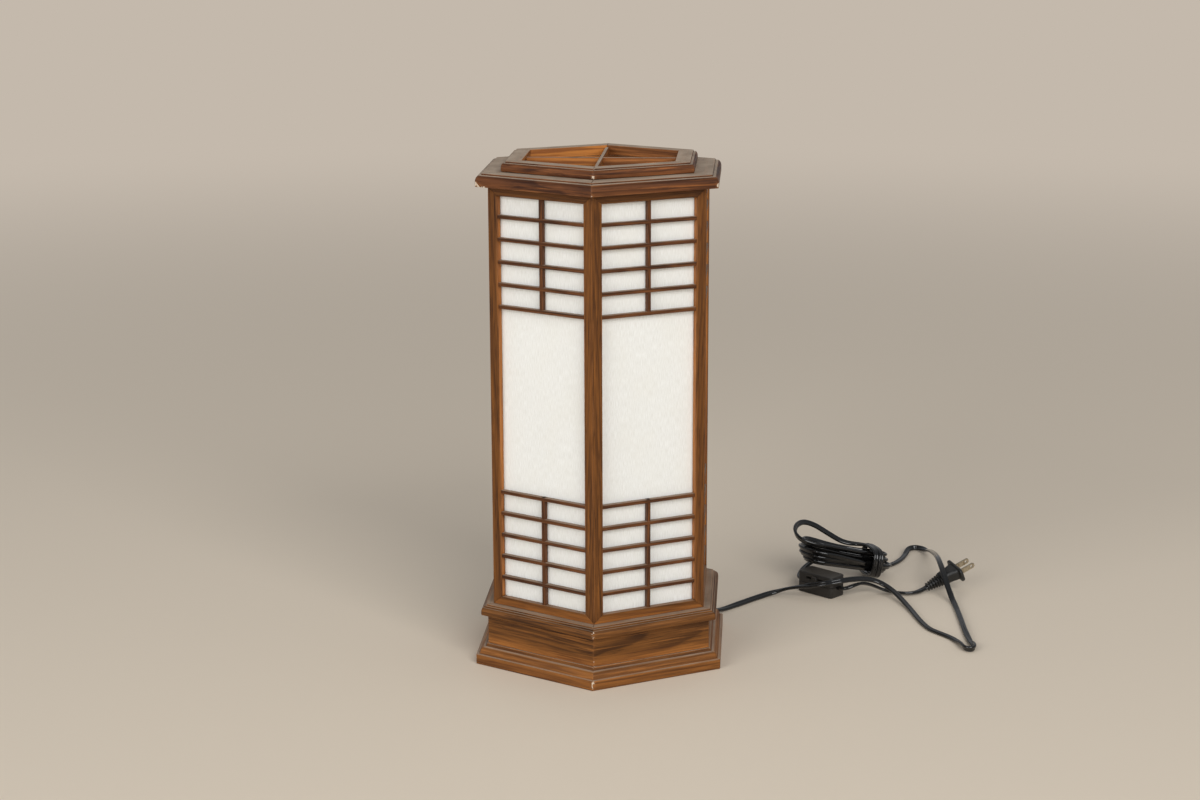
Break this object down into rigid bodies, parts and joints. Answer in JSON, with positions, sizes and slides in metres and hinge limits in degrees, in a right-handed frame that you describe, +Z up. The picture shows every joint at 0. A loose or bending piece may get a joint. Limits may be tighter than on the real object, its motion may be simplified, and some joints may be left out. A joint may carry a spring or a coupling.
{
  "type": "paper table lamp",
  "caption": "Hexagonal wooden table lamp with latticed paper panels, a stepped moulded base, a lift-off vented roof and an in-line dimmer on its cord.",
  "frame": {"origin": "bottom centre of the foot, on the lamp's vertical axis, at floor level", "axes": "+Z up; the front corner of the hexagon points to -Y and a flat side faces +X; the cord leaves the back right side"},
  "size_m": [0.5275, 0.4931, 0.5106],
  "materials": {
    "stained_wood": "stained and satin varnished",
    "lattice_wood": "stained",
    "fibre_paper": "matte with fibres",
    "brass": "plain",
    "holder_phenolic": "moulded",
    "cap_aluminium": "rolled",
    "opal_glass": "opal",
    "black_plastic": "fine texture",
    "black_vinyl": "smooth",
    "nickelled_brass": "plated"
  },
  "bodies": {
    "lamp": {"foot_moulding": "stained_wood", "plinth": "stained_wood", "base_board": "stained_wood", "post_front": "stained_wood", "post_right_front": "stained_wood", "post_right_back": "stained_wood", "post_back": "stained_wood", "post_left_back": "stained_wood", "post_left_front": "stained_wood", "bottom_rail_front_right": "stained_wood", "top_rail_front_right": "stained_wood", "lower_lattice_front_right": "lattice_wood", "upper_lattice_front_right": "lattice_wood", "paper_front_right": "fibre_paper", "bottom_rail_right": "stained_wood", "top_rail_right": "stained_wood", "lower_lattice_right": "lattice_wood", "upper_lattice_right": "lattice_wood", "paper_right": "fibre_paper", "bottom_rail_back_right": "stained_wood", "top_rail_back_right": "stained_wood", "lower_lattice_back_right": "lattice_wood", "upper_lattice_back_right": "lattice_wood", "paper_back_right": "fibre_paper", "bottom_rail_back_left": "stained_wood", "top_rail_back_left": "stained_wood", "lower_lattice_back_left": "lattice_wood", "upper_lattice_back_left": "lattice_wood", "paper_back_left": "fibre_paper", "bottom_rail_left": "stained_wood", "top_rail_left": "stained_wood", "lower_lattice_left": "lattice_wood", "upper_lattice_left": "lattice_wood", "paper_left": "fibre_paper", "bottom_rail_front_left": "stained_wood", "top_rail_front_left": "stained_wood", "lower_lattice_front_left": "lattice_wood", "upper_lattice_front_left": "lattice_wood", "paper_front_left": "fibre_paper", "lampholder_nipple": "brass", "lampholder": "holder_phenolic", "cord_bushing": "black_plastic", "dimmer_base": "black_plastic", "dimmer_cover": "black_plastic", "inner_lead": "black_vinyl", "cord_to_hank": "black_vinyl", "cord_hank": "black_vinyl", "cord_to_dimmer": "black_vinyl", "plug_lead": "black_vinyl", "plug_body": "black_vinyl", "plug_blade_left": "nickelled_brass", "plug_blade_right": "nickelled_brass"},
    "roof": {"roof_board": "stained_wood", "top_ring": "stained_wood", "vent_slat_long": "stained_wood", "vent_slat_cross": "stained_wood"},
    "bulb_lift": {"bulb_contact": "brass"},
    "bulb": {"bulb_cap": "cap_aluminium", "bulb_glass": "opal_glass"},
    "slider": {"dimmer_slider": "black_plastic"}
  },
  "joints": [
    {"name": "roof_lift", "type": "slide", "parent": "lamp", "child": "roof", "axis": [0, 0, 1], "range_m": [0, 0.12]},
    {"name": "bulb_rise", "type": "slide", "parent": "lamp", "child": "bulb_lift", "axis": [0, 0, 1], "range_m": [0, 0.0182]},
    {"name": "bulb_turn", "type": "hinge", "parent": "bulb_lift", "child": "bulb", "pos_m": [0, 0, 0.09], "axis": [0, 0, 1], "range_deg": [0, 1800]},
    {"name": "dimmer_slide", "type": "slide", "parent": "lamp", "child": "slider", "axis": [0.766, -0.6428, 0], "range_m": [-0.008, 0.008]}
  ],
  "couplings": [
    {"joint": "bulb_rise", "follows": "bulb_turn", "m_per_rad": 0.00057751}
  ]
}
